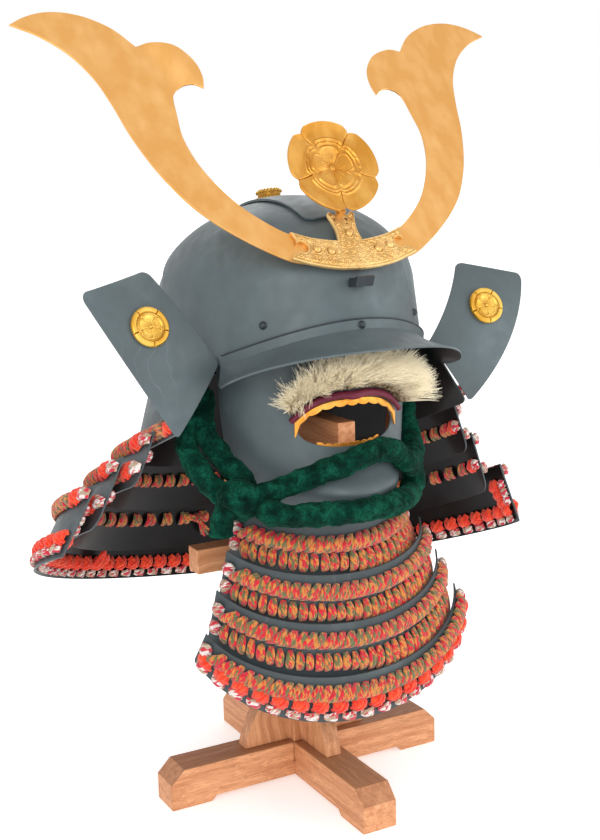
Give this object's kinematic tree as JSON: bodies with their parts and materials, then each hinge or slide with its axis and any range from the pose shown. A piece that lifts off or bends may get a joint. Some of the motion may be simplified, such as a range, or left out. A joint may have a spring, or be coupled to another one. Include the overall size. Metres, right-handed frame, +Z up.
{
  "type": "kabuto samurai helmet with half mask on a wooden stand",
  "caption": "Samurai helmet with crescent horns, rosette crest, turned-back ears, laced neck guard, half mask with bristle moustache, throat guard and velvet cord, on a wooden stand",
  "frame": {"origin": "centre of the bounding box in X and Y, on the surface that the stand rests on", "axes": "+Z up, the helmet faces -Y, its left side is at -X"},
  "size_m": [0.4944, 0.375, 0.7084],
  "materials": {
    "grey_iron": "satin blue-grey lacquer on hammered iron",
    "lame_iron": "satin blue-grey outside, black lacquer inside",
    "black_iron": "satin black",
    "gilt_brass": "polished gilt, lightly tarnished",
    "aged_brass": "dull, cast beads",
    "gilt_teeth": "gilt, satin",
    "red_lacquer": "glossy dark red lacquer",
    "bristle": "stiff cream bristle with dark roots",
    "green_velvet": "crushed dark green velvet tube",
    "mixed_lacing": "thick braid in red, tan and grey-green",
    "orange_lacing": "orange-red braid knots",
    "white_red_lacing": "white braid flecked with red",
    "wood": "clear-finished reddish wood"
  },
  "bodies": {
    "root": {"bowl": "grey_iron", "brow_plate": "grey_iron", "crown_plate": "grey_iron", "crown_fitting": "aged_brass", "visor": "grey_iron", "brow_rivet_left": "black_iron", "brow_rivet_right": "black_iron", "visor_rivet": "black_iron", "horn_left": "gilt_brass", "horn_right": "gilt_brass", "crest_plate": "gilt_brass", "crest_rosette": "gilt_brass", "crest_bracket": "black_iron", "ear_left": "grey_iron", "ear_disc_left": "gilt_brass", "ear_right": "grey_iron", "ear_disc_right": "gilt_brass", "lame_1": "lame_iron", "lame_2": "lame_iron", "lame_3": "lame_iron", "lame_4": "lame_iron", "lame_1_lacing_low": "mixed_lacing", "lame_2_lacing_high": "mixed_lacing", "lame_2_lacing_low": "mixed_lacing", "lame_3_lacing_high": "mixed_lacing", "lame_3_lacing_low": "mixed_lacing", "lame_4_lacing_high": "mixed_lacing", "lame_4_lacing_knots": "orange_lacing", "lame_4_lacing_edge": "white_red_lacing", "throat_1": "grey_iron", "throat_2": "grey_iron", "throat_3": "grey_iron", "throat_4": "grey_iron", "throat_1_lacing_rope": "mixed_lacing", "throat_1_lacing_wraps": "mixed_lacing", "throat_2_lacing_rope": "mixed_lacing", "throat_2_lacing_wraps": "mixed_lacing", "throat_3_lacing_rope": "mixed_lacing", "throat_3_lacing_wraps": "mixed_lacing", "throat_4_lacing_rope": "mixed_lacing", "throat_4_lacing_knots": "orange_lacing", "throat_4_lacing_edge": "white_red_lacing", "half_mask": "grey_iron", "upper_lip": "red_lacquer", "upper_teeth": "gilt_teeth", "lower_teeth": "gilt_teeth", "moustache": "bristle", "chin_cord": "green_velvet", "base_bar_side": "wood", "base_bar_front": "wood", "stand_post": "wood", "side_bar_left": "wood", "side_bar_right": "wood", "mask_arm": "wood"}
  },
  "joints": []
}
